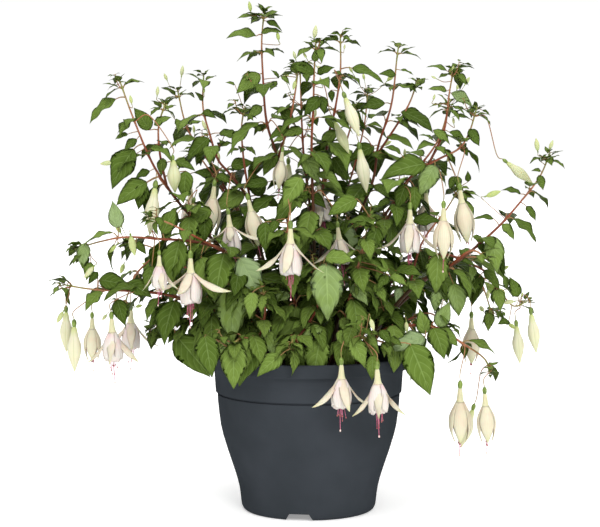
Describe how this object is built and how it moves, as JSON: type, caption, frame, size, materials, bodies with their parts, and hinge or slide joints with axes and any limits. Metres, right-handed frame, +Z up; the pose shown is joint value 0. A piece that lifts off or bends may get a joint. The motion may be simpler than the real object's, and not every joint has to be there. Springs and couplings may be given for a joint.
{
  "type": "potted fuchsia plant",
  "caption": "Free-standing fuchsia in a round tapered pot of compost, with upright, arching and trailing leafy stems and hanging pale blooms and buds.",
  "frame": {"origin": "on the ground on the pot's axis, which is the middle of the base of the whole box", "axes": "+Z up, -Y towards the plant's front, +X to the right as seen from the front"},
  "size_m": [0.5702, 0.3577, 0.5776],
  "materials": {
    "pot_plastic": "satin dark grey moulded plastic with a faintly uneven sheen",
    "compost": "dark crumbly peat-like compost",
    "foliage": "satin green leaves with paler veins on red-brown to pink stems",
    "bloom": "waxy white petals with a faint pink flush, pink stamens and green ovaries",
    "bud": "waxy cream-green buds"
  },
  "bodies": {
    "root": {"pot": "pot_plastic", "soil": "compost", "bud_far_left_back": "bud", "bud_far_left": "bud", "bloom_left_low_half": "bloom", "bloom_left_low": "bloom", "bloom_left": "bloom", "bloom_left_high": "bloom", "bud_upper_left": "bud", "bud_upper_left_round": "bud", "bud_left_inner": "bud", "bud_left_long": "bloom", "bloom_left_inner": "bloom", "bud_centre_left": "bloom", "bud_centre_high": "bloom", "bloom_centre": "bloom", "bloom_centre_right": "bloom", "bud_right_of_centre": "bud", "bloom_behind_centre": "bloom", "bud_high_right": "bud", "bud_right_long": "bud", "bloom_right": "bloom", "bloom_right_half": "bloom", "bloom_right_high": "bloom", "bud_far_right": "bud", "bud_right_low": "bud", "bud_right_low_outer": "bud", "bloom_low_right": "bloom", "bud_low_right": "bud", "bloom_low_right_outer": "bloom", "bloom_front": "bloom", "bloom_front_right": "bloom", "bloom_back_left": "bloom", "bloom_back_trailing_left": "bloom", "bud_back_centre": "bud", "bloom_back_right": "bloom", "bud_back_trailing_right": "bloom", "bloom_back_low": "bloom", "front_right": "foliage", "front_left": "foliage", "front_centre": "foliage", "trailing_left": "foliage", "arching_left": "foliage", "upper_left": "foliage", "left_crown": "foliage", "tallest": "foliage", "centre": "foliage", "right_of_centre": "foliage", "right_crown": "foliage", "right_arm": "foliage", "far_right": "foliage", "trailing_right": "foliage", "low_right": "foliage", "back_left": "foliage", "back_trailing_left": "foliage", "back_centre": "foliage", "back_right": "foliage", "back_trailing_right": "foliage", "back_low": "foliage"}
  },
  "joints": []
}
